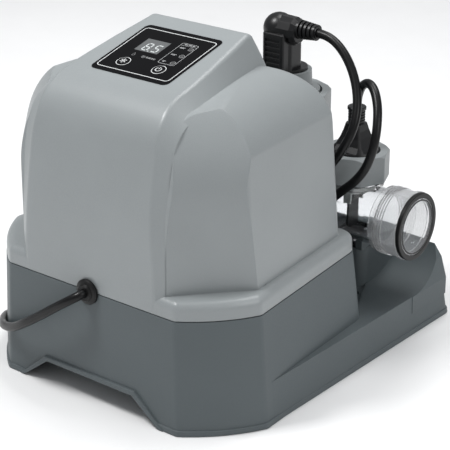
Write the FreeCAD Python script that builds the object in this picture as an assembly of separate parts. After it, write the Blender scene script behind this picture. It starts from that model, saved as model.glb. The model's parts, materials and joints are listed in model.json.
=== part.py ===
"""Salt chlorine generator for a pool, in millimetres.

The control unit stands on a wide dark base. A light cover closes it, with a sloped panel on top. The base
runs out behind the unit as a platform that carries a clear electrolytic cell, lying along X. +X is the
right-hand side seen from the front, the front faces -Y, and Z = 0 is the surface it stands on, below the
middle of the base.
"""
import FreeCAD, Part
import math
import os
from FreeCAD import Vector

X_AXIS = Vector(1, 0, 0)
Y_AXIS = Vector(0, 1, 0)
Z_AXIS = Vector(0, 0, 1)
ORIGIN = Vector(0, 0, 0)

# Base housing
SEAM_Z = 95.0                 # where base and cover meet
SEAL_THICKNESS = 0.6
FLOOR_CORNERS = [(90.3, -160.6), (136.8, -107.6), (129.2, 43.8)]    # right half at the floor, front to back
SEAM_CORNERS = [(86.9, -158.3), (131.4, -108.5), (115.6, 42.2)]     # the same corners at the seam
BOW = 4.5                     # how far the front chamfers bulge
FRONT_ROUND = 7.0             # vertical corner rounding, front and side
REAR_ROUND = 14.0             # vertical corner rounding at the back
BASE_WALL = 3.0
DECK_Z = 35.5                 # platform top
PLATFORM_X = 137.4            # platform half-width
PLATFORM_FRONT = -103.0       # where the platform grows out of the unit's side walls
PLATFORM_REAR = 160.4
PLATFORM_REAR_LEAN = 9.0      # the rear wall leans in by this much up to the deck
PLATFORM_SIDE_LEAN = 0.6
PLATFORM_START = 0.3          # its front corners stand this far inside those walls
RIM_HEIGHT = 4.5              # bead round the foot
RIM_PROUD = 1.1
RIM_TOP_ROUND = 0.9
HATCH_HALF_FLOOR = 72.5       # cut-out in the front skirt
HATCH_HALF_TOP = 45.7
HATCH_HEIGHT = 20.5
HATCH_LIP = 4.0               # width of the lip round the cut-out
PLATE_Z = 24.0                # underside of the bottom plate
PLATE_THICKNESS = 3.0
ANCHOR_HOLE = (91.0, 77.5)    # floor anchor hole, right-hand one
ANCHOR_RADIUS = 3.75
BUSH_RADIUS = 6.5             # bush that lines it, from the floor to the sunk part of the deck
SUNK = 2.0                    # how far the deck is sunk in front of the support blocks
BLOCK_X = (50.0, 89.5)        # support block under the cell, right-hand one
BLOCK_FRONT = 87.0
BLOCK_TOP = 70.0
SADDLE_TOP = 82.0             # cheeks on the support block, on both sides of the cell's foot
SADDLE_REAR = 118.5
COVER_BOSSES = [(118.0, -90.0), (103.0, 22.0)]    # right half
PLATE_BOSSES = [(60.0, -142.0), (60.0, 30.0)]     # right half
GROMMET_RADIUS = 8.0          # neck, caught in the seam
GROMMET_Y = -158.9            # where the grommet's disc lies on the wall
GROMMET_COLLAR = 5.0          # how far its collar stands out

# Inside the unit
BOARD_Z = 40.0                # underside of the power board
BOARD_THICKNESS = 1.6
BOARD_TOP = BOARD_Z + BOARD_THICKNESS
POWER_BOARD = (76.0, -92.0, 2.0)                  # half-width, front and back edges
POWER_BOARD_HOLES = [(70.0, -86.0), (70.0, -4.0)]    # right half
CORE_AT = (-38.0, -45.0)      # middle of the transformer

# Cover
COVER_WALL = 2.8
RIM_TOP = 110.0               # top of the cover's lower rim
RIM_ROUND = 7.0
WING_INSET_CHAMFER = 6.5      # the wings stand in from the rim by this much
WING_INSET_SIDE = 8.0
WING_REAR_Y = 29.5
WING_DRAFT = 0.075
WING_BOW = 3.0
SHOULDER_IN = 13.5            # the wings' front shoulders: distance in from the rim's chamfer,
SHOULDER_RADIUS = 92.5        # radius,
SHOULDER_Z = 181.0            # and the height where they start to curve back
CROWN_Z = 253.6               # highest point of the wings' roof
CREASE_Z = 207.0              # where the roof meets the side wall
PANEL_SLOPE = math.radians(14.6)
PANEL_CENTRE_Y = -72.9
PANEL_CENTRE_Z = 265.65
PANEL_WIDTH = 78.2
PANEL_DEPTH = 72.5
WING_ROUND = 9.0              # rounding of the wings' edges
BAND_ROUND = 4.5
DISPLAY_AT = (-11.2, 8.3)     # on the panel, from its centre
DISPLAY_SIZE = (23.4, 18.4)
BUTTONS = {"button_mode": (-18.0, -19.3), "button_power": (18.0, -19.3)}
BUTTON_RADIUS = 5.25
BUTTON_GAP = 0.08
BUTTON_TRAVEL = 0.6
LIGHT_X = 22.0                # column of indicator lights
LIGHT_Y = (15.0, 4.0, -7.0)
LIGHT_RADIUS = 1.6
BOARD_DROP = 14.0             # control board's underside below the panel
BOARD_HOLES = [(30.0, 26.0), (30.0, -29.0)]       # right half, on the panel

# Cell
CELL_Y = 97.5
CELL_Z = 101.0
CELL_RADIUS = 25.2            # outer radius of the clear tube
CELL_BORE = 21.5
PORT_FACE_X = 138.0
PORT_SEAL = 3.5               # thickness of the flat seal on each port
PORT_RADIUS = 28.8            # outside of the port between its ridges
PORT_RIDGE = 0.8
PORT_RIDGES = 4
PORT_BORE = 22.5
PORT_LIP = 24.6               # outer radius of the clear lip inside the seal
FOOT = (58.0, 82.0, 88.5, 117.5)                  # right foot of the cell: x and y ranges
CELL_SCREWS = [(61.0, 96.5), (61.0, 111.5), (79.0, 96.5), (79.0, 111.5)]
SENSOR_X = 73.0
SENSOR_NECK_TOP = 143.0
SENSOR_NUT_RADIUS = 30.0      # to the corners
ELECTRODE_NECK_TOP = 185.5
ELECTRODE_NUT_RADIUS = 39.0
PADDLE_PIVOT_Z = 112.5
PLUG_LEAD_Z = 186.0           # where the lead starts in the sensor's plug

# Leads
CORD_RADIUS = 3.7             # mains cord
LEAD_RADIUS = 3.8             # leads to the cell
GLAND_XY = [(35.0, 57.0), (62.0, 57.0)]
GLAND_TOP = 58.0
HEAD_Y, HEAD_Z = 90.0, 252.7  # axis of the cell plug's head and of its strain relief
HEAD_RADIUS = 13.0
LEAD_START_X = 30.0
RELIEF_END_X = 37.0
COIL_CENTRE = (-202.0, 45.0)
COIL_INNER, COIL_OUTER = 26.5, 56.5
COIL_HEIGHT = 15.0
TAIL_ANGLE = 20.0             # where the tail leaves the coil, degrees
TAIL_Z = 11.25


def block(x0, x1, y0, y1, z0, z1):
    return Part.makeBox(x1 - x0, y1 - y0, z1 - z0, Vector(x0, y0, z0))


def rod(radius, start, length, axis=Z_AXIS):
    return Part.makeCylinder(radius, length, start, axis)


def fused(shapes):
    return shapes[0].multiFuse(shapes[1:]).removeSplitter()


def mirrored(shape):
    return shape.mirror(ORIGIN, X_AXIS)


def curve(points):
    """Edges through a list of points, where ("arc", middle, end) stands for an arc."""
    edges = []
    here = points[0]
    for step in points[1:]:
        if isinstance(step, tuple):
            edges.append(Part.Arc(here, step[1], step[2]).toShape())
            here = step[2]
        else:
            edges.append(Part.LineSegment(here, step).toShape())
            here = step
    return edges


# ---------------------------------------------------------------- casings

def stand_in(points, inset):
    """The right-hand corners of a six-sided outline, moved inwards. Inset is one number, or one for the
    front, chamfer, side and rear."""
    front, chamfer, side, rear = inset if isinstance(inset, tuple) else (inset,) * 4
    (x1, y1), (x2, y2), (x3, y3) = points
    lines = [((-1.0, y1), (1.0, y1), front), ((x1, y1), (x2, y2), chamfer),
             ((x2, y2), (x3, y3), side), ((1.0, y3), (-1.0, y3), rear)]
    moved = []
    for (ax, ay), (bx, by), step in lines:
        length = math.hypot(bx - ax, by - ay)
        nx, ny = -(by - ay) / length, (bx - ax) / length
        moved.append((ax + nx * step, ay + ny * step, bx - ax, by - ay))
    corners = []
    for (px, py, pu, pv), (qx, qy, qu, qv) in zip(moved, moved[1:]):
        s = ((qx - px) * qv - (qy - py) * qu) / (pu * qv - pv * qu)
        corners.append((px + pu * s, py + pv * s))
    return corners


def outline(corners, z, bow=BOW):
    """A closed outline, symmetric about X = 0, with bowed front chamfers."""
    (x1, y1), (x2, y2), (x3, y3) = corners
    length = math.hypot(x2 - x1, y2 - y1)
    mx = (x1 + x2) / 2 + bow * (y2 - y1) / length
    my = (y1 + y2) / 2 - bow * (x2 - x1) / length
    steps = [Vector(-x1, y1, z), Vector(x1, y1, z), ("arc", Vector(mx, my, z), Vector(x2, y2, z)),
             Vector(x3, y3, z), Vector(-x3, y3, z), Vector(-x2, y2, z),
             ("arc", Vector(-mx, my, z), Vector(-x1, y1, z))]
    return Part.Wire(curve(steps))


def upright_edges(shape, corners, reach=9.0):
    """Edges of a lofted body that run up from near the given corners."""
    found = []
    for edge in shape.Edges:
        ends = [v.Point for v in edge.Vertexes]
        if len(ends) == 2 and abs(ends[0].z - ends[1].z) > 0.3:
            low = min(ends, key=lambda p: p.z)
            if any(math.hypot(abs(low.x) - x, low.y - y) < reach for x, y in corners):
                found.append(edge)
    return found


def upright_body(low_corners, low_z, high_corners, high_z, front_round, rear_round):
    body = Part.makeLoft([outline(low_corners, low_z), outline(high_corners, high_z)], True, True)
    body = body.makeFillet(front_round, upright_edges(body, low_corners[:2], 1.0))
    return body.makeFillet(rear_round, upright_edges(body, low_corners[2:], 1.0))


def side_face(points):
    """A face in the YZ plane from (y, z) points and ("arc", middle, end) steps."""
    steps = []
    for step in points + [points[0]]:
        if step[0] == "arc":
            steps.append(("arc", Vector(0, *step[1]), Vector(0, *step[2])))
        else:
            steps.append(Vector(0, *step))
    return Part.Face(Part.Wire(curve(steps)))


def across(face, half_width, shrink=0.0):
    """A side face, shrunk all round, as a slab across X."""
    if shrink:
        face = Part.Face(face.OuterWire.makeOffset2D(-shrink))
    slab = face.extrude(Vector(2 * half_width, 0, 0))
    slab.translate(Vector(-half_width, 0, 0))
    return slab


# Side profiles of the cover: the raised band, and the wings behind and beside it.
BAND_PROFILE = [(-158.3, 60.0), (-157.7, 140.0), ("arc", (-154.6, 181.0), (-146.4, 222.0)),
                ("arc", (-134.3, 243.1), (-113.2, 255.1)), (-24.0, 278.4),
                ("arc", (-17.5, 277.6), (-14.5, 273.5)), (4.0, 235.0), (4.0, 60.0)]
WING_PROFILE = [(-152.5, 60.0), (-151.7, 140.0), ("arc", (-149.0, 181.0), (-141.2, 218.0)),
                ("arc", (-131.0, 235.5), (-110.5, 244.8)), ("arc", (-62.0, 251.4), (-18.0, CROWN_Z)),
                ("arc", (11.0, 240.0), (27.5, 204.0)), (WING_REAR_Y, 106.0), (WING_REAR_Y, 60.0)]
# The band's sides slope between its edge on top and its foot on the wings: x, y, z of both, front to back.
BAND_SIDES = [((66.0, -158.3, 80.0), (75.0, -152.5, 80.0)), ((65.5, -157.7, 140.0), (75.0, -151.7, 140.0)),
              ((63.0, -154.6, 181.0), (74.0, -149.0, 181.0)), ((60.7, -148.3, 215.0), (73.0, -142.0, 215.0)),
              ((59.0, -134.3, 243.1), (71.0, -129.0, 236.5)), ((58.0, -113.2, 255.1), (69.5, -110.5, 244.8)),
              ((56.0, -72.0, 266.0), (66.0, -72.0, 250.5)), ((53.0, -45.0, 273.0), (62.0, -45.0, 252.4)),
              ((50.0, -22.0, 279.0), (57.5, -22.0, 253.3)), ((47.0, 6.0, 286.0), (53.0, 6.0, 253.0))]


def band_cutter():
    """What lies beside the band on the right: a ruled surface through its sloped side, swept outwards."""
    above, below = [], []
    for top, foot in BAND_SIDES:
        top, foot = Vector(*top), Vector(*foot)
        above.append(top + (top - foot) * 0.8)
        below.append(foot + (foot - top) * 0.9)
    curves = []
    for points in (above, below):
        spline = Part.BSplineCurve()
        spline.interpolate(points)
        curves.append(spline.toShape())
    return Part.makeRuledSurface(*curves).extrude(Vector(90, 0, 0))


def arch(shrink):
    """The vaulted roof of the right wing, swept along the side wall."""
    slant = (SEAM_CORNERS[2][0] - SEAM_CORNERS[1][0]) / (SEAM_CORNERS[2][1] - SEAM_CORNERS[1][1])
    front_y = -172.0
    wall_x = SEAM_CORNERS[1][0] - WING_INSET_SIDE - WING_DRAFT * (CREASE_Z - RIM_TOP)
    wall_x += slant * (front_y - SEAM_CORNERS[1][1])
    radius = 61.3 - shrink
    cx, cz = wall_x - 59.7, CREASE_Z - 14.0
    low = math.asin(14.0 / 61.3)
    mid = (low + math.pi / 2) / 2
    end = (cx + radius * math.cos(low), cz + radius * math.sin(low))
    steps = [Vector(-30, front_y, 60), Vector(-30, front_y, cz + radius), Vector(cx, front_y, cz + radius),
             ("arc", Vector(cx + radius * math.cos(mid), front_y, cz + radius * math.sin(mid)),
              Vector(end[0], front_y, end[1])),
             Vector(end[0] + 14, front_y, end[1] - 40), Vector(end[0] + 14, front_y, 60),
             Vector(-30, front_y, 60)]
    face = Part.Face(Part.Wire(curve(steps)))
    length = 230.0
    return face.extrude(Vector(slant * length, length, 0))


def shoulder(shrink):
    """Everything behind the rounded front shoulder of the right wing, swept along its chamfer."""
    (x1, y1), (x2, y2) = SEAM_CORNERS[:2]
    length = math.hypot(x2 - x1, y2 - y1)
    top = 75.0
    rise = math.sqrt(SHOULDER_RADIUS ** 2 - (SHOULDER_RADIUS + SHOULDER_IN - top) ** 2)
    half_angle = math.atan2(rise, SHOULDER_RADIUS + SHOULDER_IN - top) / 2
    middle = (SHOULDER_IN + SHOULDER_RADIUS * (1 - math.cos(half_angle)),
              SHOULDER_Z + SHOULDER_RADIUS * math.sin(half_angle))
    face = side_face([(SHOULDER_IN, 50.0), (SHOULDER_IN, SHOULDER_Z),
                      ("arc", middle, (top, SHOULDER_Z + rise)), (400.0, SHOULDER_Z + rise), (400.0, 50.0)])
    body = face.extrude(Vector(600, 0, 0))
    body.translate(Vector(length / 2 - 300, shrink, 0))
    body.rotate(ORIGIN, Z_AXIS, math.degrees(math.atan2(y2 - y1, x2 - x1)))
    body.translate(Vector(x1, y1, 0))
    return body


def runs_across(edge):
    return edge.BoundBox.YLength < 1 and edge.BoundBox.ZLength < 1


def wings(shrink):
    rise = 175.0
    low = stand_in(SEAM_CORNERS, (0.0, WING_INSET_CHAMFER + shrink, WING_INSET_SIDE + shrink, 0.0))
    low = stand_in(low, (-3.0, 0.0, 0.0, -3.0))
    lean = WING_DRAFT * rise
    high = stand_in(low, (0.0, lean, lean, 0.0))
    body = Part.makeLoft([outline(low, RIM_TOP - 20, WING_BOW),
                          outline(high, RIM_TOP - 20 + rise, WING_BOW)], True, True)
    roof = arch(shrink)
    body = body.common(across(side_face(WING_PROFILE), 150, shrink))
    body = body.common(fused([roof, mirrored(roof)]))
    low_z = body.BoundBox.ZMin + 1
    corners = [e for e in body.Edges if e.BoundBox.ZMax > low_z + 5 and not runs_across(e)]
    body = body.makeFillet(WING_ROUND - shrink, corners)
    front = shoulder(shrink)
    return body.common(front).common(mirrored(front))


def band(shrink):
    cutter = band_cutter()
    cutter.translate(Vector(-1.2 * shrink, 0, 0))
    body = across(side_face(BAND_PROFILE), 74, shrink)
    body = body.cut(cutter).cut(mirrored(cutter))
    shoulder = [e for e in body.Edges if not runs_across(e) and e.BoundBox.XLength < 12
                and 46 < abs(e.CenterOfMass.x) < 67 and e.CenterOfMass.z > 90
                and not (e.BoundBox.YMin > 0)]
    return body.makeFillet(BAND_ROUND - shrink / 2, shoulder)


def rim(shrink):
    low = stand_in(SEAM_CORNERS, 0.2 + shrink)
    high = stand_in(SEAM_CORNERS, 0.7 + shrink)
    body = upright_body(low, SEAM_Z - 5, high, RIM_TOP - shrink, FRONT_ROUND - shrink, REAR_ROUND - shrink)
    top = [e for e in body.Edges if e.BoundBox.ZMin > RIM_TOP - shrink - 0.1]
    return body.makeFillet(RIM_ROUND - shrink / 2, top)


def corners_at(z):
    """Corners of the base's outline, which leans in from the floor to the seam and on."""
    share = z / SEAM_Z
    return [(a[0] + (b[0] - a[0]) * share, a[1] + (b[1] - a[1]) * share)
            for a, b in zip(FLOOR_CORNERS, SEAM_CORNERS)]


def main_block(inset, low_z, high_z):
    low, high = stand_in(corners_at(low_z), inset), stand_in(corners_at(high_z), inset)
    return upright_body(low, low_z, high, high_z, FRONT_ROUND - inset, REAR_ROUND - inset)


def platform_block(inset, low_z, high_z, start_in=PLATFORM_START):
    wires = []
    for z in (low_z, high_z):
        rear = PLATFORM_REAR - inset - PLATFORM_REAR_LEAN * z / DECK_Z
        side = PLATFORM_X - inset - PLATFORM_SIDE_LEAN * z / DECK_Z
        (wall_x, wall_y), (back_x, back_y) = corners_at(z)[1:]
        share = (PLATFORM_FRONT - wall_y) / (back_y - wall_y)
        start = wall_x + (back_x - wall_x) * share - inset - start_in
        front = PLATFORM_FRONT + inset
        corners = [(-start, front), (start, front), (side, rear), (-side, rear), (-start, front)]
        wires.append(Part.makePolygon([Vector(x, y, z) for x, y in corners]))
    body = Part.makeLoft(wires, True, True)
    rear_edges = [e for e in body.Edges if e.BoundBox.ZLength > 3 and e.CenterOfMass.y > 0]
    return body.makeFillet(8.0 - inset, rear_edges)


def hill(inset):
    """The raised back of the platform, hollowed out round the cell."""
    side = [(137.0, 20.0), (136.8, DECK_Z), (131.0, 54.0), (122.0, 66.0)]
    points = [(x - inset, z - inset) for x, z in side]
    points += [(-x, z) for x, z in reversed(points)]
    rear = PLATFORM_REAR - PLATFORM_REAR_LEAN - inset + 0.2
    ring = [Vector(x, CELL_Y, z) for x, z in points + [points[0]]]
    body = Part.Face(Part.makePolygon(ring)).extrude(Vector(0, rear - CELL_Y, 0))
    hollow = rod(CELL_Z - DECK_Z + inset, Vector(-150, CELL_Y, CELL_Z), 300, X_AXIS)
    return body.cut(hollow)


def support_block(inset):
    x0, x1 = BLOCK_X
    body = block(x0 + inset, x1 - inset, BLOCK_FRONT + inset, PLATFORM_REAR - PLATFORM_REAR_LEAN - inset,
                 20.0, BLOCK_TOP - inset)
    front = [e for e in body.Edges if e.BoundBox.ZLength > 9 and e.CenterOfMass.y < 100]
    body = body.makeFillet(11.0 - inset, front)
    return fused([body, mirrored(body)])


def base_rim():
    corners = stand_in(corners_at(0), -RIM_PROUD)
    bead = upright_body(corners, 0, stand_in(corners_at(RIM_HEIGHT), -RIM_PROUD), RIM_HEIGHT,
                        FRONT_ROUND, REAR_ROUND)
    beads = [bead, platform_block(-RIM_PROUD, 0, RIM_HEIGHT, RIM_PROUD)]
    return [b.makeFillet(RIM_TOP_ROUND, [e for e in b.Edges if e.BoundBox.ZMin > RIM_HEIGHT - 0.1])
            for b in beads]


def boss_with_rib(x, y, radius, low_z, high_z, wall_point):
    """A screw boss, tied to the wall by a rib."""
    wx, wy = wall_point
    length = math.hypot(wx - x, wy - y)
    rib = block(0, length, -1.25, 1.25, low_z, high_z)
    rib.rotate(ORIGIN, Z_AXIS, math.degrees(math.atan2(wy - y, wx - x)))
    rib.translate(Vector(x, y, 0))
    return rod(radius, Vector(x, y, low_z), high_z - low_z).fuse(rib)


def hatch_face(margin, y):
    """The cut-out in the front skirt as a face at y, grown by margin."""
    foot, top, height = HATCH_HALF_FLOOR + 1.2 * margin, HATCH_HALF_TOP + 0.6 * margin, HATCH_HEIGHT + margin
    corners = [(-foot, 0), (foot, 0), (top, height), (-top, height), (-foot, 0)]
    return Part.Face(Part.makePolygon([Vector(x, y, z) for x, z in corners]))


def hatch_lip():
    """A rounded lip round the cut-out, 1.8 mm proud of the wall."""
    front = FLOOR_CORNERS[0][1] - 1.8
    lip = hatch_face(HATCH_LIP, front).extrude(Vector(0, 4, 0))
    return lip.makeFillet(0.9, [e for e in lip.Edges
                                if e.BoundBox.YMax < front + 0.1 and e.BoundBox.ZMax > 1])


def saddle_cheeks():
    """Cheeks that cradle the tube, in front of and behind the foot's place."""
    x0, x1 = BLOCK_X
    gap = 0.5
    cheeks = [block(x0 + 0.5, FOOT[0] - gap, BLOCK_FRONT + 1, SADDLE_REAR, BLOCK_TOP - 1, SADDLE_TOP),
              block(FOOT[1] + gap, x1 - 0.5, BLOCK_FRONT + 1, SADDLE_REAR, BLOCK_TOP - 1, SADDLE_TOP)]
    tube = rod(CELL_RADIUS + 0.15, Vector(0, CELL_Y, CELL_Z), 2 * x1, X_AXIS)
    return [c.cut(tube) for c in cheeks]


def both_sides(shapes):
    return shapes + [mirrored(s) for s in shapes]


def base_top_z():
    return SEAM_Z - SEAL_THICKNESS / 2


def seam_hole(length=60.0):
    """The grommet's hole, half in the base and half in the cover."""
    return rod(GROMMET_RADIUS, Vector(0, -180, SEAM_Z), length, Y_AXIS)


def base_housing():
    plate_top = PLATE_Z + PLATE_THICKNESS
    top = base_top_z()
    outside = fused([main_block(0, 0, top), platform_block(0, 0, DECK_Z), hill(0), support_block(0),
                     *base_rim()])
    inside = fused([main_block(BASE_WALL, -2, top + 4),
                    platform_block(BASE_WALL, -2, DECK_Z - BASE_WALL - 1.5),
                    hill(BASE_WALL), support_block(BASE_WALL)])
    shell = outside.cut(inside)
    posts, holes = [], []
    for x, y in COVER_BOSSES:
        wall = (x + 13.0, y - 2.0) if y < 0 else (x + 14.0, y + 6.0)
        posts.append(boss_with_rib(x, y, 6.0, plate_top, top, wall))
        holes += [rod(2.1, Vector(x, y, plate_top - 5), 90), rod(4.3, Vector(x, y, plate_top - 5), 58)]
    for x, y in PLATE_BOSSES:
        wall = (x, y - 16.0) if y < 0 else (x, y + 11.0)
        posts.append(boss_with_rib(x, y, 4.5, plate_top, plate_top + 20, wall))
        holes.append(rod(1.6, Vector(x, y, plate_top - 5), 23))
    holes.append(rod(BUSH_RADIUS, Vector(*ANCHOR_HOLE, DECK_Z - 8), 12))
    sunk_corners = [(20, 30), (121.5, 30), (119.5, 34), (BLOCK_X[1], BLOCK_FRONT + 8), (20, 95), (20, 30)]
    deck_step = Part.makePolygon([Vector(px, py, DECK_Z - SUNK) for px, py in sunk_corners])
    step = Part.Face(deck_step).extrude(Vector(0, 0, 3)).cut(main_block(0, 0, top)).cut(support_block(0))
    posts = [p.common(outside) for p in posts] + saddle_cheeks()
    holes += [rod(2.1, Vector(bx, by, BLOCK_TOP - 6), 8) for bx, by in CELL_SCREWS]
    gland_holes = [rod(6.05, Vector(gx, gy, DECK_Z - 8), 12) for gx, gy in GLAND_XY]
    hatch = hatch_face(0, FLOOR_CORNERS[0][1] - 15).extrude(Vector(0, 40, 0))
    shell = fused([shell, hatch_lip()] + both_sides(posts))
    cutters = [hatch, seam_hole(), step, mirrored(step)]
    return shell.cut(cutters + both_sides(holes) + gland_holes)


def anchor_bush():
    place = Vector(*ANCHOR_HOLE, 0)
    height = DECK_Z - SUNK
    return rod(BUSH_RADIUS, place, height).cut(rod(ANCHOR_RADIUS, place, height))


def bottom_plate():
    low = stand_in(corners_at(PLATE_Z), BASE_WALL + 0.6)
    plate = Part.Face(outline(low, PLATE_Z)).extrude(Vector(0, 0, PLATE_THICKNESS))
    top = PLATE_Z + PLATE_THICKNESS
    feet = [rod(3.5, Vector(x, y, top), BOARD_Z - top) for x, y in POWER_BOARD_HOLES]
    holes = [rod(1.4, Vector(x, y, top + 2), 20) for x, y in POWER_BOARD_HOLES]
    for x, y in COVER_BOSSES:
        holes.append(rod(4.3, Vector(x, y, PLATE_Z - 1), 10))
    for x, y in PLATE_BOSSES:
        holes.append(rod(1.6, Vector(x, y, PLATE_Z - 1), 10))
    return fused([plate] + both_sides(feet)).cut(both_sides(holes))


def screws(places, head_z, head_radius, head_height, shank_radius, length, head_up=False):
    """Pan-head screws along Z. The shank points up from head_z, or down from it when the head is on top."""
    solids = []
    for x, y in places:
        if head_up:
            head = rod(head_radius, Vector(x, y, head_z), head_height)
            shank = rod(shank_radius, Vector(x, y, head_z - length), length)
            socket = block(-0.5, 0.5, -head_radius, head_radius,
                           head_z + head_height - 0.9, head_z + head_height + 1)
        else:
            head = rod(head_radius, Vector(x, y, head_z - head_height), head_height)
            shank = rod(shank_radius, Vector(x, y, head_z), length)
            socket = block(-0.5, 0.5, -head_radius, head_radius,
                           head_z - head_height - 1, head_z - head_height + 0.9)
        slot = socket.copy()
        slot.translate(Vector(x, y, 0))
        cross = socket.copy()
        cross.rotate(ORIGIN, Z_AXIS, 90)
        cross.translate(Vector(x, y, 0))
        solids.append(head.fuse(shank).cut([slot, cross]).removeSplitter())
    return Part.makeCompound(solids)


def mirrored_places(places):
    return places + [(-x, y) for x, y in places]


def power_board():
    half, front, back = POWER_BOARD
    board = block(-half, half, front, back, BOARD_Z, BOARD_Z + BOARD_THICKNESS)
    return board.cut([rod(1.7, Vector(x, y, BOARD_Z - 1), 5) for x, y in mirrored_places(POWER_BOARD_HOLES)])


def transformer_core():
    x, y = CORE_AT
    core = block(x - 27, x + 27, y - 12, y + 12, BOARD_TOP, BOARD_TOP + 48)
    windows = [block(x - 18, x - 7, y - 13, y + 13, BOARD_TOP + 9, BOARD_TOP + 39),
               block(x + 7, x + 18, y - 13, y + 13, BOARD_TOP + 9, BOARD_TOP + 39)]
    return core.cut(windows)


def transformer_winding():
    x, y = CORE_AT
    coil = block(x - 17.8, x + 17.8, y - 23, y + 23, BOARD_TOP + 9.2, BOARD_TOP + 38.8)
    coil = coil.makeFillet(6, [e for e in coil.Edges if e.BoundBox.ZLength > 20])
    return coil.cut(block(x - 7, x + 7, y - 12, y + 12, BOARD_TOP, BOARD_TOP + 48))


def heat_sink():
    back = block(40, 44, -84, -20, BOARD_TOP, BOARD_TOP + 44)
    fins = [block(44, 62, y, y + 1.6, BOARD_TOP + 3, BOARD_TOP + 44) for y in range(-83, -20, 7)]
    return fused([back] + fins)


def capacitors():
    solids = []
    for y in (-78.0, -55.0, -32.0):
        can = rod(9.0, Vector(20, y, BOARD_TOP), 32)
        solids.append(can.makeFillet(1.2, [e for e in can.Edges if e.BoundBox.ZMin > BOARD_TOP + 31]))
    return Part.makeCompound(solids)


def relays():
    return Part.makeCompound([block(x, x + 19, -14, 1, BOARD_TOP, BOARD_TOP + 15)
                              for x in (-30.0, -4.0, 22.0)])


def terminal_block():
    body = block(-62, -22, -90, -77, BOARD_TOP, BOARD_TOP + 15)
    holes = [rod(2.6, Vector(-57 + 10 * i, -83.5, BOARD_TOP + 7), 10) for i in range(4)]
    slots = [block(-59.6 + 10 * i, -54.4 + 10 * i, -91, -86, BOARD_TOP + 3, BOARD_TOP + 9) for i in range(4)]
    return body.cut(holes + slots)


def cover_seal():
    """Strip between base and cover, just inside the outer face of the wall."""
    low_z = base_top_z()
    rings = []
    for inset in (0.8, 2.4):
        corners = stand_in(SEAM_CORNERS, inset)
        rings.append(upright_body(corners, low_z, corners, low_z + SEAL_THICKNESS, FRONT_ROUND - inset,
                                  REAR_ROUND - inset))
    return rings[0].cut([rings[1], seam_hole()])


def on_panel(shape):
    """Moves a shape from the panel's own frame (X across, Y up the slope, Z out of it) to its place."""
    shape.rotate(ORIGIN, X_AXIS, math.degrees(PANEL_SLOPE))
    shape.translate(Vector(0, PANEL_CENTRE_Y, PANEL_CENTRE_Z))
    return shape


def cover_casing(shrink):
    return [wings(shrink), band(shrink), rim(shrink)]


def top_cover():
    bottom = SEAM_Z + SEAL_THICKNESS / 2
    outside = fused(cover_casing(0))
    shell = outside.cut(cover_casing(COVER_WALL))
    posts, holes = [], []
    for x, y in COVER_BOSSES:
        posts += both_sides([rod(5.5, Vector(x, y, bottom), 27)])
        holes += both_sides([rod(2.0, Vector(x, y, bottom - 1), 16)])
    posts = [p.common(outside) for p in posts]
    for x, y in mirrored_places(BOARD_HOLES):
        posts.append(on_panel(rod(3.0, Vector(x, y, BOARD_THICKNESS - BOARD_DROP),
                                  BOARD_DROP - BOARD_THICKNESS - 2)))
        holes.append(on_panel(rod(1.0, Vector(x, y, BOARD_THICKNESS - BOARD_DROP - 1), 8)))
    holes.append(on_panel(rounded_plate(PANEL_WIDTH, PANEL_DEPTH, 5.0, -0.7, 3.0)))
    width, depth = DISPLAY_SIZE
    x, y = DISPLAY_AT
    holes.append(on_panel(block(x - width / 2, x + width / 2, y - depth / 2, y + depth / 2, -8, 2)))
    holes += [on_panel(rod(6.7, Vector(bx, by, -8), 10)) for bx, by in BUTTONS.values()]
    holes += [on_panel(rod(LIGHT_RADIUS + 0.1, Vector(LIGHT_X, ly, -8), 10)) for ly in LIGHT_Y]
    shell = fused([shell] + posts)
    floor = block(-200, 200, -200, 200, 0, bottom)
    return shell.cut(holes + [floor, seam_hole()])


def rounded_plate(width, depth, radius, low_z, high_z):
    plate = block(-width / 2, width / 2, -depth / 2, depth / 2, low_z, high_z)
    return plate.makeFillet(radius, [e for e in plate.Edges if e.BoundBox.ZLength > (high_z - low_z) * 0.9
                                     and e.BoundBox.XLength < 0.01 and e.BoundBox.YLength < 0.01])


def panel_overlay():
    plate = rounded_plate(PANEL_WIDTH, PANEL_DEPTH, 5.0, -0.7, 0.35)
    width, depth = DISPLAY_SIZE
    x, y = DISPLAY_AT
    holes = [block(x - width / 2, x + width / 2, y - depth / 2, y + depth / 2, -8, 2)]
    holes += [rod(BUTTON_RADIUS + BUTTON_GAP, Vector(bx, by, -8), 10) for bx, by in BUTTONS.values()]
    holes += [rod(LIGHT_RADIUS, Vector(LIGHT_X, ly, -8), 10) for ly in LIGHT_Y]
    return on_panel(plate.cut(holes))


def display_window():
    width, depth = DISPLAY_SIZE
    x, y = DISPLAY_AT
    return on_panel(block(x - width / 2, x + width / 2, y - depth / 2, y + depth / 2, -0.7, 0.25))


def display_module():
    x, y = DISPLAY_AT
    return on_panel(block(x - 10.8, x + 10.8, y - 8.4, y + 8.4, BOARD_THICKNESS - BOARD_DROP, -1.0))


def control_board():
    board = block(-35, 35, -33, 31, -BOARD_DROP, BOARD_THICKNESS - BOARD_DROP)
    return on_panel(board.cut([rod(1.3, Vector(x, y, -20), 12) for x, y in mirrored_places(BOARD_HOLES)]))


def board_screws():
    solids = screws(mirrored_places(BOARD_HOLES), -BOARD_DROP, 2.6, 1.6, 1.0, 7.5)
    return on_panel(solids)


def indicator_lights():
    top = BOARD_THICKNESS - BOARD_DROP
    return on_panel(Part.makeCompound([rod(LIGHT_RADIUS, Vector(LIGHT_X, y, top), 0.3 - top)
                                       for y in LIGHT_Y]))


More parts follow.
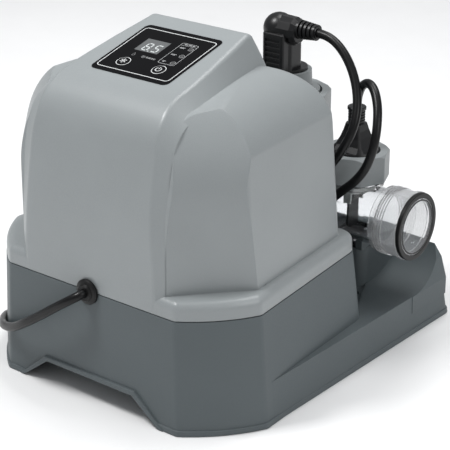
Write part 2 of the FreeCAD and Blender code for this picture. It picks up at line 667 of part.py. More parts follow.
def button(x, y):
    cap = rod(BUTTON_RADIUS, Vector(x, y, -1.0), 1.85)
    cap = cap.makeFillet(0.4, [e for e in cap.Edges if e.BoundBox.ZMin > 0.5])
    flange = rod(BUTTON_RADIUS + 1.1, Vector(x, y, -2.2), 1.4)
    stem = rod(1.6, Vector(x, y, -8.0), 6.5)
    return on_panel(fused([cap, flange, stem]))


def tact_switches():
    top = BOARD_THICKNESS - BOARD_DROP
    plunger_top = -8.0 - BUTTON_TRAVEL - 0.05
    solids = []
    for x, y in BUTTONS.values():
        body = block(x - 3, x + 3, y - 3, y + 3, top, top + 2.6)
        solids.append(body.fuse(rod(1.5, Vector(x, y, top), plunger_top - top)).removeSplitter())
    return on_panel(Part.makeCompound(solids))


# ---------------------------------------------------------------- cell

def octagon(radius, x, y, low_z, high_z, bevel):
    """A moulded nut's body: eight flats, corners at radius, bevelled at both ends."""
    corners = [Vector(x + radius * math.cos(math.radians(45 * i)),
                      y + radius * math.sin(math.radians(45 * i)), low_z)
               for i in range(8)]
    body = Part.Face(Part.makePolygon(corners + [corners[0]])).extrude(Vector(0, 0, high_z - low_z))
    body = body.makeFillet(3.0, [e for e in body.Edges if e.BoundBox.ZLength > 5])
    height = high_z - low_z
    turned = Part.makeCone(radius + height - bevel, radius - bevel, height, Vector(x, y, low_z), Z_AXIS)
    return body.common(turned)


def revolved(profile, x=0.0, y=0.0):
    """A solid turned about the vertical through x, y, from (radius, z) points."""
    points = [Vector(r, 0, z) for r, z in profile]
    solid = Part.Face(Part.makePolygon(points + [points[0]])).revolve(ORIGIN, Z_AXIS, 360)
    solid.translate(Vector(x, y, 0))
    return solid


def turned_along_x(profile):
    """A solid turned about the cell's axis, from (x, radius) points."""
    points = [Vector(x, 0, r) for x, r in profile]
    solid = Part.Face(Part.makePolygon(points + [points[0]])).revolve(ORIGIN, X_AXIS, 360)
    solid.translate(Vector(0, CELL_Y, CELL_Z))
    return solid


def port_sleeve():
    """The thickened right end of the tube, with fine ridges, an end collar and a lip inside the seal."""
    seat = PORT_FACE_X - PORT_SEAL
    collar = PORT_RADIUS + 1.0
    profile = [(106.0, CELL_BORE + 1), (106.0, PORT_RADIUS - 1.2), (107.2, PORT_RADIUS)]
    for i in range(PORT_RIDGES):
        x = 111.0 + 2.4 * i
        top = PORT_RADIUS + PORT_RIDGE
        profile += [(x, PORT_RADIUS), (x + 0.5, top), (x + 1.1, top), (x + 1.6, PORT_RADIUS)]
    profile += [(seat - 4.0, PORT_RADIUS), (seat - 3.4, collar), (seat - 0.5, collar), (seat, collar - 0.5),
                (seat, PORT_LIP), (PORT_FACE_X - 0.4, PORT_LIP), (PORT_FACE_X - 0.4, CELL_BORE + 1)]
    return turned_along_x(profile)


def cell_body():
    seat = PORT_FACE_X - PORT_SEAL
    x0, x1, y0, y1 = FOOT
    outer = [rod(CELL_RADIUS, Vector(-seat + 1, CELL_Y, CELL_Z), 2 * seat - 2, X_AXIS),
             rod(22.0, Vector(SENSOR_X, CELL_Y, CELL_Z), SENSOR_NECK_TOP - CELL_Z),
             rod(25.5, Vector(SENSOR_X, CELL_Y, 126.0), 3.5),
             rod(32.0, Vector(0, CELL_Y, CELL_Z), ELECTRODE_NECK_TOP - CELL_Z)]
    outer += both_sides([port_sleeve(), block(x0, x1, y0, y1, BLOCK_TOP, CELL_Z - 10)])
    bores = [rod(CELL_BORE, Vector(-seat, CELL_Y, CELL_Z), 2 * seat, X_AXIS),
             rod(18.0, Vector(SENSOR_X, CELL_Y, CELL_Z), 60),
             rod(28.8, Vector(0, CELL_Y, CELL_Z), 90)]
    port_bore = rod(PORT_BORE, Vector(seat - 24, CELL_Y, CELL_Z), 40, X_AXIS)
    holes = [rod(2.0, Vector(x, y, BLOCK_TOP - 1), 5.5) for x, y in CELL_SCREWS]
    return fused(outer).cut(bores + both_sides(holes + [port_bore]))


def port_seal(side):
    seat = PORT_FACE_X - PORT_SEAL
    ring = rod(29.3, Vector(seat, CELL_Y, CELL_Z), PORT_SEAL, X_AXIS)
    ring = ring.cut(rod(PORT_LIP + 0.05, Vector(seat - 1, CELL_Y, CELL_Z), PORT_SEAL + 2, X_AXIS))
    ring = ring.makeFillet(0.8, [e for e in ring.Edges if e.BoundBox.XMin > PORT_FACE_X - 0.1])
    return ring if side > 0 else mirrored(ring)


def electrode_cap():
    profile = [(0, 176), (28.4, 176), (28.4, 186.5), (32.4, 186.5), (32.4, 190.5), (28.4, 190.5),
               (28.4, 196.2), (27.4, 197.2), (21.8, 197.2), (21.0, 213.5), (17.6, 213.5), (17.6, 201.0),
               (0, 201.0)]
    cap = revolved(profile, 0, CELL_Y)
    return cap.cut([rod(2.0, Vector(x, CELL_Y, 170), 40) for x in (-8.0, 8.0)])


def electrode_terminals():
    return Part.makeCompound([rod(2.0, Vector(x, CELL_Y, 172), 37) for x in (-8.0, 8.0)])


def electrode_plates():
    return Part.makeCompound([block(-20, 20, CELL_Y + dy, CELL_Y + dy + 1.2, 87, 172)
                              for dy in (-13.0, -6.8, -0.6, 5.6, 11.8)])


def ring_seal(x, inner, outer, low_z, high_z):
    return revolved([(inner, low_z), (outer, low_z), (outer, high_z), (inner, high_z)], x, CELL_Y)


def electrode_nut():
    body = octagon(ELECTRODE_NUT_RADIUS, 0, CELL_Y, 174.0, 195.0, 2.0)
    return body.cut([rod(32.48, Vector(0, CELL_Y, 170), 20.6), rod(30.4, Vector(0, CELL_Y, 170), 40)])


def sensor_insert():
    profile = [(0, 122), (17.8, 122), (17.8, 144.0), (22.8, 144.0), (22.8, 148.0), (0, 148.0)]
    body = revolved(profile, SENSOR_X, CELL_Y)
    ears = [block(SENSOR_X - 3.5, SENSOR_X + 3.5, CELL_Y + y0, CELL_Y + y0 + 2.2, 109, 122.5)
            for y0 in (-10.4, 8.2)]
    body = fused([body] + ears)
    return body.cut([rod(1.0, Vector(SENSOR_X, CELL_Y - 12, PADDLE_PIVOT_Z), 24, Y_AXIS),
                     rod(2.2, Vector(SENSOR_X, CELL_Y, 126), 30)])


def paddle_pin():
    return rod(1.0, Vector(SENSOR_X, CELL_Y - 10.4, PADDLE_PIVOT_Z), 20.8, Y_AXIS)


def flow_paddle():
    hub = rod(2.6, Vector(SENSOR_X, CELL_Y - 7.8, PADDLE_PIVOT_Z), 15.6, Y_AXIS)
    blade = block(SENSOR_X - 0.8, SENSOR_X + 0.8, CELL_Y - 7.8, CELL_Y + 7.8, 85, PADDLE_PIVOT_Z)
    blade = blade.makeFillet(5, [e for e in blade.Edges if e.BoundBox.XLength > 1 and e.BoundBox.ZMax < 90
                                 and e.BoundBox.YLength < 0.1])
    return fused([hub, blade]).cut(rod(1.06, Vector(SENSOR_X, CELL_Y - 12, PADDLE_PIVOT_Z), 24, Y_AXIS))


def reed_switch():
    return rod(2.1, Vector(SENSOR_X, CELL_Y, 127), 16)


def sensor_nut():
    body = octagon(SENSOR_NUT_RADIUS, SENSOR_X, CELL_Y, 132.0, 156.0, 2.0)
    return body.cut([rod(22.88, Vector(SENSOR_X, CELL_Y, 130), 18.1),
                     rod(21.2, Vector(SENSOR_X, CELL_Y, 130), 40)])


def square_horn(points, x):
    """A square column about the vertical through x, with flats of the given (half width, z) profile."""
    section = ([Vector(half, 0, z) for half, z in points]
               + [Vector(-half, 0, z) for half, z in reversed(points)])
    face = Part.Face(Part.makePolygon(section + [section[0]]))
    slab = face.extrude(Vector(0, 80, 0))
    slab.translate(Vector(0, -40, 0))
    crossed = slab.copy()
    crossed.rotate(ORIGIN, Z_AXIS, 90)
    horn = slab.common(crossed)
    horn.translate(Vector(x, CELL_Y, 0))
    return horn


def sensor_plug():
    """A horn-shaped plug: round at the foot and the neck, with four hollow flats between them."""
    profile = [(0, 148.0), (20.4, 148.0), (20.4, 156.0), (19.6, 158.0), (16.6, 162.5), (13.4, 168.0),
               (10.9, 174.0), (9.0, 179.5), (6.4, 180.5)]
    for z in (181.5, 183.9, 186.3, 188.7):
        profile += [(6.4, z), (7.3, z + 0.4), (7.3, z + 1.2), (6.4, z + 1.6)]
    profile += [(6.4, 191.3), (8.0, 191.9), (8.0, 193.9), (7.4, 194.5), (LEAD_RADIUS, 194.5),
                (LEAD_RADIUS, PLUG_LEAD_Z), (0, PLUG_LEAD_Z)]
    flats = [(30, 146), (30, 157), (16.2, 157.6), (13.0, 162), (10.3, 168), (8.4, 174), (7.4, 179.5),
             (10, 180), (10, 196)]
    return revolved(profile, SENSOR_X, CELL_Y).common(square_horn(flats, SENSOR_X))


def cell_plug():
    """Right-angle plug: a square column on a round spigot, a domed head, and a strain relief towards +X."""
    spigot = rod(17.4, Vector(0, CELL_Y, 201.2), 15)
    column = block(-12.5, 12.5, 82.0, 103.0, 214.0, HEAD_Z)
    column = column.makeFillet(5.0, [e for e in column.Edges if e.BoundBox.ZLength > 20])
    latch = block(-11.0, 11.0, 75.0, 90.0, 215.0, 249.0)
    latch = latch.makeFillet(2.5, [e for e in latch.Edges
                                   if e.BoundBox.ZLength > 20 and e.CenterOfMass.y < 80])
    latch = latch.makeFillet(1.5, [e for e in latch.Edges if e.BoundBox.ZMin > 248.9])
    recess = block(-7.5, 7.5, 74.0, 76.2, 219.0, 244.0)
    ribs = [block(-7.6, 7.6, 75.2, 76.6, z, z + 1.8) for z in (221.0, 225.6, 230.2, 234.8, 239.4)]
    dome = Part.makeSphere(HEAD_RADIUS + 0.6, Vector(-4, HEAD_Y, HEAD_Z - 2.5))
    rings = []
    for x, radius in ((-4.0, HEAD_RADIUS), (14.0, HEAD_RADIUS - 0.8), (18.0, HEAD_RADIUS - 3.6)):
        corners = [Vector(x, HEAD_Y + radius * math.cos(math.radians(30 * i + 15)),
                          HEAD_Z - 2.5 + radius * math.sin(math.radians(30 * i + 15))) for i in range(12)]
        rings.append(Part.makePolygon(corners + [corners[0]]))
    head = Part.makeLoft(rings, True, True)
    body = fused([spigot, column, latch.cut(recess), *ribs, dome, head] + strain_relief())
    sockets = [rod(2.05, Vector(x, CELL_Y, 200), 10) for x in (-8.0, 8.0)]
    return body.cut(sockets + [rod(LEAD_RADIUS, Vector(LEAD_START_X, HEAD_Y, HEAD_Z), 12, X_AXIS)])


def strain_relief():
    """The cell plug's flexible nose: a tapered sleeve with rings."""
    start, length = 16.0, RELIEF_END_X - 16.0
    sleeve = Part.makeCone(6.6, 5.3, length, Vector(start, HEAD_Y, HEAD_Z), X_AXIS)
    rings = [Part.makeCone(8.4 - 0.35 * i, 8.2 - 0.35 * i, 2.2,
                           Vector(start + 2 + 3.9 * i, HEAD_Y, HEAD_Z), X_AXIS)
             for i in range(5)]
    return [sleeve] + rings


def lead_gland(place):
    x, y = place
    low = DECK_Z - 6.0
    nut = octagon(10.5, x, y, DECK_Z, DECK_Z + 6, 0.8)
    body = fused([nut, rod(6.0, Vector(x, y, low), 8), Part.makeCone(8.5, 6.0, GLAND_TOP - DECK_Z - 6,
                                                                     Vector(x, y, DECK_Z + 6), Z_AXIS)])
    return body.cut(rod(LEAD_RADIUS, Vector(x, y, low - 1), 40))


def mains_grommet():
    profile = [(CORD_RADIUS, -GROMMET_COLLAR), (6.2, -GROMMET_COLLAR), (7.2, -GROMMET_COLLAR + 1),
               (7.2, -3.4), (9.4, -2.6), (10.5, -1.6), (10.5, 0), (GROMMET_RADIUS, 0),
               (GROMMET_RADIUS, 4.2), (9.6, 4.2), (9.6, 7.0), (CORD_RADIUS, 7.0)]
    solid = revolved(profile)
    solid.rotate(ORIGIN, X_AXIS, -90)
    solid.translate(Vector(0, GROMMET_Y, SEAM_Z))
    return solid


# ---------------------------------------------------------------- cords

# Routes, as corner points that the cord's arcs round off.
MAINS_ROUTE = [(0, GROMMET_Y - GROMMET_COLLAR, SEAM_Z), (0, -169, SEAM_Z), (-3.5, -174.5, 92.5),
               (-11, -177.5, 87.3), (-23, -178, 79), (-38, -178, 68.8), (-53, -178, 59.3), (-70, -177, 50),
               (-86, -174, 42.5),
               (-101, -166.5, 37), (-117, -152.5, 31), (-134, -136, 20), (-148, -112, 9), (-154.5, -84, 3.8),
               (-155, -56, 3.8), (-152, -26, 3.8), (-149.6, 4, 3.8), (-149.25, 29, 3.8)]
CELL_ROUTE = [(LEAD_START_X, HEAD_Y, HEAD_Z), (43, HEAD_Y, HEAD_Z), (55, 89.5, 248.5), (66, 87.5, 240.5),
              (76.5, 84, 229), (85.5, 78, 215.5), (91.5, 70.5, 201.5), (93, 63, 187), (89, 58, 174),
              (81, 56, 160), (69, 55, 145), (55, 55, 130), (43, 56, 113), (36, 57.5, 92),
              (35, 57, 70), (35, 57, 50)]
SENSOR_ROUTE = [(SENSOR_X, CELL_Y, PLUG_LEAD_Z), (SENSOR_X, CELL_Y, 199.5), (75.8, 96, 208),
                (81, 92.8, 215.5), (89.5, 88.7, 220.5), (99, 83.5, 217.5), (107.5, 76, 207.5),
                (112.5, 69, 197), (115, 63.5, 185), (114, 60, 171), (109, 58.5, 157), (99.5, 57.5, 144),
                (87, 57, 133), (75, 57, 121), (66, 57, 107), (62.6, 57.5, 89), (62, 57, 70), (62, 57, 50)]


def cord(route, radius, name):
    """A round cord of straight runs joined by the largest arcs that fit."""
    points = [Vector(*p) for p in route]
    edges, radii, here = [], [], points[0]
    for before, corner, after in zip(points, points[1:], points[2:]):
        into, out = (corner - before), (after - corner)
        turn = into.getAngle(out)
        reach = 0.45 * min(into.Length, out.Length)
        into.normalize()
        out.normalize()
        start, end = corner - into * reach, corner + out * reach
        bend = reach / math.tan(turn / 2)
        radii.append(round(bend, 1))
        to_centre = (out - into).normalize()
        centre = corner + to_centre * (reach / math.sin(turn / 2))
        middle = centre - to_centre * bend
        edges.append(Part.LineSegment(here, start).toShape())
        edges.append(Part.Arc(start, middle, end).toShape())
        here = end
    edges.append(Part.LineSegment(here, points[-1]).toShape())
    path = Part.Wire(edges)
    first = points[1] - points[0]
    section = Part.Wire(Part.makeCircle(radius, points[0], first))
    tube = path.makePipeShell([section], True, False, 2)
    ideal = math.pi * radius ** 2 * path.Length
    print(name, "radii", radii, "length", round(path.Length, 1),
          "volume ratio", round(tube.Volume / ideal, 4))
    return tube


def coil_ring():
    x, y = COIL_CENTRE
    ring = revolved([(COIL_INNER, 0.05), (COIL_OUTER, 0.05), (COIL_OUTER, COIL_HEIGHT),
                     (COIL_INNER, COIL_HEIGHT)], x, y)
    ring = ring.makeFillet(3.0, ring.Edges)
    return ring.cut(tie_band(0.1))


def tie_band(bite):
    """A strap wound once round the coil's section, away from the unit, cutting into it by bite."""
    x, y = COIL_CENTRE
    strap, gap = 1.2, 0.05
    low, high = x - COIL_OUTER, x - COIL_INNER
    outer = block(low - strap, high + strap, y - 4, y + 4, 0, COIL_HEIGHT + strap)
    outer = outer.makeFillet(3.5, [e for e in outer.Edges if e.BoundBox.YLength > 7])
    slack = gap - bite
    inner = block(low - slack, high + slack, y - 5, y + 5, strap - slack, COIL_HEIGHT + slack)
    return outer.cut(inner.makeFillet(2.6, [e for e in inner.Edges if e.BoundBox.YLength > 9]))


def on_tail(shape):
    """Moves a shape from the tail's own frame (X along the cord from the coil) to its place."""
    shape.rotate(ORIGIN, Z_AXIS, 90 + TAIL_ANGLE)
    reach = COIL_OUTER - CORD_RADIUS
    angle = math.radians(TAIL_ANGLE)
    shape.translate(Vector(COIL_CENTRE[0] + reach * math.cos(angle),
                           COIL_CENTRE[1] + reach * math.sin(angle), TAIL_Z))
    return shape


def mains_cord_tail():
    return on_tail(rod(CORD_RADIUS, Vector(17, 0, 0), 25, X_AXIS))


def mains_plug():
    body = block(52, 88, -15, 15, -TAIL_Z, TAIL_Z)
    body = body.makeFillet(5.0, [e for e in body.Edges if e.BoundBox.XLength > 30])
    body = body.makeFillet(2.0, [e for e in body.Edges if e.BoundBox.XMax < 52.1])
    shoulder = Part.makeCone(8.5, 9.6, 7, Vector(46, 0, 0), X_AXIS)
    relief = Part.makeCone(5.4, 7.0, 16, Vector(31, 0, 0), X_AXIS)
    body = fused([body, shoulder, relief]).cut(rod(CORD_RADIUS, Vector(30, 0, 0), 12, X_AXIS))
    sockets = [block(80, 90, y - 3.15, y + 3.15, 1.65, 3.15) for y in (-6.35, 6.35)]
    return on_tail(body.cut(sockets + [rod(2.4, Vector(80, 0, -6.2), 10, X_AXIS)]))


def mains_plug_pins():
    blades = [block(80, 105.5, y - 3.15, y + 3.15, 1.65, 3.15) for y in (-6.35, 6.35)]
    blades = [b.cut(rod(1.6, Vector(100, y, 0), 10)) for b, y in zip(blades, (-6.35, 6.35))]
    ground = rod(2.4, Vector(80, 0, -6.2), 28, X_AXIS)
    ground = ground.makeFillet(1.6, [e for e in ground.Edges if e.BoundBox.XMin > 107])
    return on_tail(Part.makeCompound(blades + [ground]))


NODES = {
    "base_housing": base_housing,
    "anchor_bush_right": anchor_bush,
    "anchor_bush_left": lambda: mirrored(anchor_bush()),
    "bottom_plate": bottom_plate,
    "power_board": power_board,
    "transformer_core": transformer_core,
    "transformer_winding": transformer_winding,
    "heat_sink": heat_sink,
    "capacitors": capacitors,
    "relays": relays,
    "terminal_block": terminal_block,
    "cover_seal": cover_seal,
    "top_cover": top_cover,
    "panel_overlay": panel_overlay,
    "display_window": display_window,
    "display_module": display_module,
    "control_board": control_board,
    "board_screws": board_screws,
    "indicator_lights": indicator_lights,
    "button_mode": lambda: button(*BUTTONS["button_mode"]),
    "button_power": lambda: button(*BUTTONS["button_power"]),
    "tact_switches": tact_switches,
    "cell_body": cell_body,
    "port_seal_right": lambda: port_seal(1),
    "port_seal_left": lambda: port_seal(-1),
    "electrode_cap": electrode_cap,
    "electrode_nut": electrode_nut,
    "electrode_seal": lambda: ring_seal(0, 28.8, 32.0, ELECTRODE_NECK_TOP, 186.5),
    "electrode_terminals": electrode_terminals,
    "electrode_plates": electrode_plates,
    "sensor_insert": sensor_insert,
    "sensor_nut": sensor_nut,
    "sensor_seal": lambda: ring_seal(SENSOR_X, 18.0, 22.0, SENSOR_NECK_TOP, 144.0),
    "paddle_pin": paddle_pin,
    "flow_paddle": flow_paddle,
    "reed_switch": reed_switch,
    "sensor_plug": sensor_plug,
    "cell_plug": cell_plug,
    "cell_lead_gland": lambda: lead_gland(GLAND_XY[0]),
    "sensor_lead_gland": lambda: lead_gland(GLAND_XY[1]),
    "mains_grommet": mains_grommet,
    "mains_cord": lambda: cord(MAINS_ROUTE, CORD_RADIUS, "mains_cord"),
    "mains_cord_coil": coil_ring,
    "mains_cord_tail": mains_cord_tail,
    "coil_tie": lambda: tie_band(0.0),
    "mains_plug": mains_plug,
    "mains_plug_pins": mains_plug_pins,
    "cell_lead": lambda: cord(CELL_ROUTE, LEAD_RADIUS, "cell_lead"),
    "sensor_lead": lambda: cord(SENSOR_ROUTE, LEAD_RADIUS, "sensor_lead"),
    "cover_screws": lambda: screws(mirrored_places(COVER_BOSSES), 80.0, 3.9, 3.0, 2.0, 28.0),
    "plate_screws": lambda: screws(mirrored_places(PLATE_BOSSES), PLATE_Z, 3.2, 2.2, 1.6, 18.0),
    "power_board_screws": lambda: screws(mirrored_places(POWER_BOARD_HOLES), BOARD_TOP,
                                         2.9, 1.8, 1.4, 12.0, True),
    "cell_screws": lambda: screws(mirrored_places(CELL_SCREWS), BLOCK_TOP - BASE_WALL, 3.6, 2.6, 2.0, 7.0),
}


def main():
    os.makedirs("parts", exist_ok=True)
    for name, make in NODES.items():
        shape = make()
        assert shape.isValid(), name
        shape.exportStep("parts/" + name + ".step")


if __name__ == "__main__":
    main()
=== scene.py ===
import json
import math

import bmesh
import bpy
from mathutils import Matrix, Vector


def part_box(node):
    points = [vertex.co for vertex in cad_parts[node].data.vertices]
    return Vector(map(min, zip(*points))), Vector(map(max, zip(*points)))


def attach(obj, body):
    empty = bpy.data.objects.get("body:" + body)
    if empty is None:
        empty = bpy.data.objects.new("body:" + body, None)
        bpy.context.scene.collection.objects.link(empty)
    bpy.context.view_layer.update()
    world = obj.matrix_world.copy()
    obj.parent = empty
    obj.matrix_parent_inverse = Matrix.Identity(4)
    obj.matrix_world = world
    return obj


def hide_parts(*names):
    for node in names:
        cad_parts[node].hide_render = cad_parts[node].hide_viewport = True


MM = 0.001

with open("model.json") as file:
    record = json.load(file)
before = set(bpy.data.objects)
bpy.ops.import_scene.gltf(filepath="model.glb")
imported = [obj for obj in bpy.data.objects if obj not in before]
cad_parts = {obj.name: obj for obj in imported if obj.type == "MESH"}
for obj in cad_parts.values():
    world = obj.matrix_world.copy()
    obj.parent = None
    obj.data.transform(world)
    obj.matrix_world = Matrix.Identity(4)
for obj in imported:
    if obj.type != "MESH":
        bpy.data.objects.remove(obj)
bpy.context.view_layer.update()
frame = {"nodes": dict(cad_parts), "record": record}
nodes = frame["nodes"]

# ---------------------------------------------------------------- node building


class Shader:
    """A Principled material and the short way to add nodes to it."""

    def __init__(self, name):
        self.material = bpy.data.materials.new(name)
        self.material.use_nodes = True
        self.tree = self.material.node_tree
        self.surface = self.tree.nodes["Principled BSDF"]
        self.place = self.add("ShaderNodeTexCoord").outputs["Object"]

    def add(self, kind, **settings):
        node = self.tree.nodes.new(kind)
        for key, value in settings.items():
            setattr(node, key, value)
        return node

    def join(self, source, target):
        self.tree.links.new(source, target)

    def noise(self, scale, detail=4.0, roughness=0.6, stretch=None):
        """Noise from 0 to 1. Scale is in features per metre; stretch squeezes it along X, Y, Z."""
        node = self.add("ShaderNodeTexNoise")
        node.inputs["Scale"].default_value = scale
        node.inputs["Detail"].default_value = detail
        node.inputs["Roughness"].default_value = roughness
        place = self.place
        if stretch:
            mapping = self.add("ShaderNodeMapping")
            mapping.inputs["Scale"].default_value = stretch
            self.join(place, mapping.inputs["Vector"])
            place = mapping.outputs["Vector"]
        self.join(place, node.inputs["Vector"])
        return node.outputs["Fac"]

    def between(self, fac, low, high, from_low=0.3, from_high=0.7):
        node = self.add("ShaderNodeMapRange")
        node.inputs["From Min"].default_value = from_low
        node.inputs["From Max"].default_value = from_high
        node.inputs["To Min"].default_value = low
        node.inputs["To Max"].default_value = high
        self.join(fac, node.inputs["Value"])
        return node.outputs["Result"]

    def mixed(self, fac, a, b):
        node = self.add("ShaderNodeMix", data_type="RGBA")
        for value, socket in ((a, node.inputs[6]), (b, node.inputs[7])):
            if isinstance(value, tuple):
                socket.default_value = (*value, 1.0)
            else:
                self.join(value, socket)
        self.join(fac, node.inputs[0])
        return node.outputs[2]

    def bumped(self, heights, rounded=0.0):
        """Adds bumps from (fac, metres) pairs, and softens the edges by the radius rounded."""
        normal = None
        if rounded:
            bevel = self.add("ShaderNodeBevel", samples=4)
            bevel.inputs["Radius"].default_value = rounded
            normal = bevel.outputs["Normal"]
        for fac, depth in heights:
            bump = self.add("ShaderNodeBump")
            bump.inputs["Strength"].default_value = 1.0
            bump.inputs["Distance"].default_value = depth
            self.join(fac, bump.inputs["Height"])
            if normal:
                self.join(normal, bump.inputs["Normal"])
            normal = bump.outputs["Normal"]
        if normal:
            self.join(normal, self.surface.inputs["Normal"])

    def set(self, **values):
        for key, value in values.items():
            socket = self.surface.inputs[key.replace("_", " ")]
            if isinstance(value, (int, float)):
                socket.default_value = value
            elif isinstance(value, tuple):
                socket.default_value = (*value, 1.0)
            else:
                self.join(value, socket)


def shade_of(colour, factor):
    return tuple(min(1.0, c * factor) for c in colour)


def moulded(name, colour, roughness, grain=0.000035, rounded=0.0004, specular=0.4):
    """Moulded plastic: a spark-eroded grain, slow changes of tone and slightly paler high spots."""
    shader = Shader(name)
    slow = shader.noise(14, 3)
    fine = shader.noise(900, 3, 0.65)
    coarse = shader.noise(2600, 2, 0.5)
    tone = shader.mixed(shader.between(slow, 0.0, 1.0), shade_of(colour, 0.95), shade_of(colour, 1.05))
    speck = shader.mixed(shader.between(coarse, 0.0, 1.0, 0.35, 0.7), tone, shade_of(colour, 1.1))
    rough = shader.between(fine, roughness - 0.05, roughness + 0.07)
    shader.set(Base_Color=speck, Roughness=rough, Specular_IOR_Level=specular)
    shader.bumped([(fine, grain), (coarse, grain * 0.6)], rounded)
    return shader.material


def glossy(name, colour, roughness=0.12, rounded=0.0002, ripple=0.00002, coat=0.6, specular=0.5):
    """Polished plastic film or key: clear coat, faint ripple and a few fine scuffs."""
    shader = Shader(name)
    wave = shader.noise(60, 2)
    scuff = shader.noise(1400, 4, 0.7, (1.0, 0.2, 1.0))
    rough = shader.between(scuff, roughness, roughness + 0.12, 0.5, 0.8)
    tone = shader.mixed(shader.between(wave, 0.0, 1.0), shade_of(colour, 0.92), shade_of(colour, 1.08))
    shader.set(Base_Color=tone, Roughness=rough, Coat_Weight=coat, Coat_Roughness=0.06,
               Specular_IOR_Level=specular)
    shader.bumped([(wave, ripple)], rounded)
    return shader.material


def clear(name, tint, roughness, frost, frosted_from):
    """Clear moulded plastic with flow lines, whitened beyond frosted_from metres to the left and right."""
    shader = Shader(name)
    flow = shader.noise(55, 3, 0.5, (0.3, 1.0, 1.0))
    rough = shader.between(shader.noise(700, 3), roughness, roughness + 0.08)
    reach = shader.add("ShaderNodeMath", operation="ABSOLUTE")
    split = shader.add("ShaderNodeSeparateXYZ")
    shader.join(shader.place, split.inputs["Vector"])
    shader.join(split.outputs["X"], reach.inputs[0])
    through = shader.between(reach.outputs[0], 1.0, 1.0 - frost, frosted_from, frosted_from + 0.002)
    shader.set(Base_Color=tint, Roughness=rough, Transmission_Weight=through, IOR=1.49)
    shader.bumped([(flow, 0.00025)])
    return shader.material


def rubbery(name, colour, roughness, grain=0.00003, scale=1500):
    shader = Shader(name)
    fine = shader.noise(scale, 3, 0.6)
    slow = shader.noise(40, 3)
    tone = shader.mixed(shader.between(slow, 0.0, 1.0), colour, shade_of(colour, 1.5))
    rough = shader.between(fine, roughness - 0.06, roughness + 0.08)
    shader.set(Base_Color=tone, Roughness=rough, Specular_IOR_Level=0.28)
    shader.bumped([(fine, grain)], 0.0002)
    return shader.material


def metal(name, colour, roughness, stretch=(1.0, 1.0, 12.0), depth=0.00001):
    shader = Shader(name)
    grain = shader.noise(600, 4, 0.6, stretch)
    tone = shader.mixed(shader.between(grain, 0.0, 1.0), shade_of(colour, 0.85), shade_of(colour, 1.1))
    rough = shader.between(grain, roughness - 0.06, roughness + 0.1)
    shader.set(Base_Color=tone, Metallic=1.0, Roughness=rough)
    shader.bumped([(grain, depth)], 0.0002)
    return shader.material


def circuit(name, colour):
    """Circuit board: solder mask over faint tracks."""
    shader = Shader(name)
    tracks = shader.add("ShaderNodeTexBrick")
    tracks.inputs["Scale"].default_value = 160.0
    tracks.inputs["Mortar Size"].default_value = 0.03
    shader.join(shader.place, tracks.inputs["Vector"])
    fac = shader.between(tracks.outputs["Fac"], 0.0, 1.0, 0.0, 1.0)
    tone = shader.mixed(fac, shade_of(colour, 0.8), shade_of(colour, 1.8))
    shader.set(Base_Color=tone, Roughness=shader.between(shader.noise(500), 0.25, 0.4), Coat_Weight=0.3)
    shader.bumped([(fac, 0.00004)])
    return shader.material


def wound(name, colour):
    """Enamelled wire in layers."""
    shader = Shader(name)
    wire = shader.add("ShaderNodeTexWave", wave_type="BANDS", bands_direction="Z")
    wire.inputs["Scale"].default_value = 260.0
    wire.inputs["Distortion"].default_value = 0.4
    shader.join(shader.place, wire.inputs["Vector"])
    tone = shader.mixed(wire.outputs["Fac"], shade_of(colour, 0.5), shade_of(colour, 1.2))
    rough = shader.between(shader.noise(300), 0.25, 0.4)
    shader.set(Base_Color=tone, Metallic=0.85, Roughness=rough, Coat_Weight=0.4)
    shader.bumped([(wire.outputs["Fac"], 0.0003)])
    return shader.material


def glowing(name, colour, strength):
    """Lit segments and lamps, a little uneven."""
    shader = Shader(name)
    tone = shader.mixed(shader.between(shader.noise(500), 0.0, 1.0), shade_of(colour, 0.9), colour)
    shader.set(Base_Color=tone, Roughness=shader.between(shader.noise(900), 0.3, 0.45),
               Emission_Color=tone, Emission_Strength=strength)
    return shader.material


def printed(name, colour):
    """Screen-printed ink with slightly uneven cover."""
    shader = Shader(name)
    tone = shader.mixed(shader.between(shader.noise(1500), 0.0, 1.0), shade_of(colour, 0.9), colour)
    shader.set(Base_Color=tone, Roughness=shader.between(shader.noise(2500), 0.35, 0.55))
    shader.bumped([(shader.noise(3000), 0.00001)])
    return shader.material


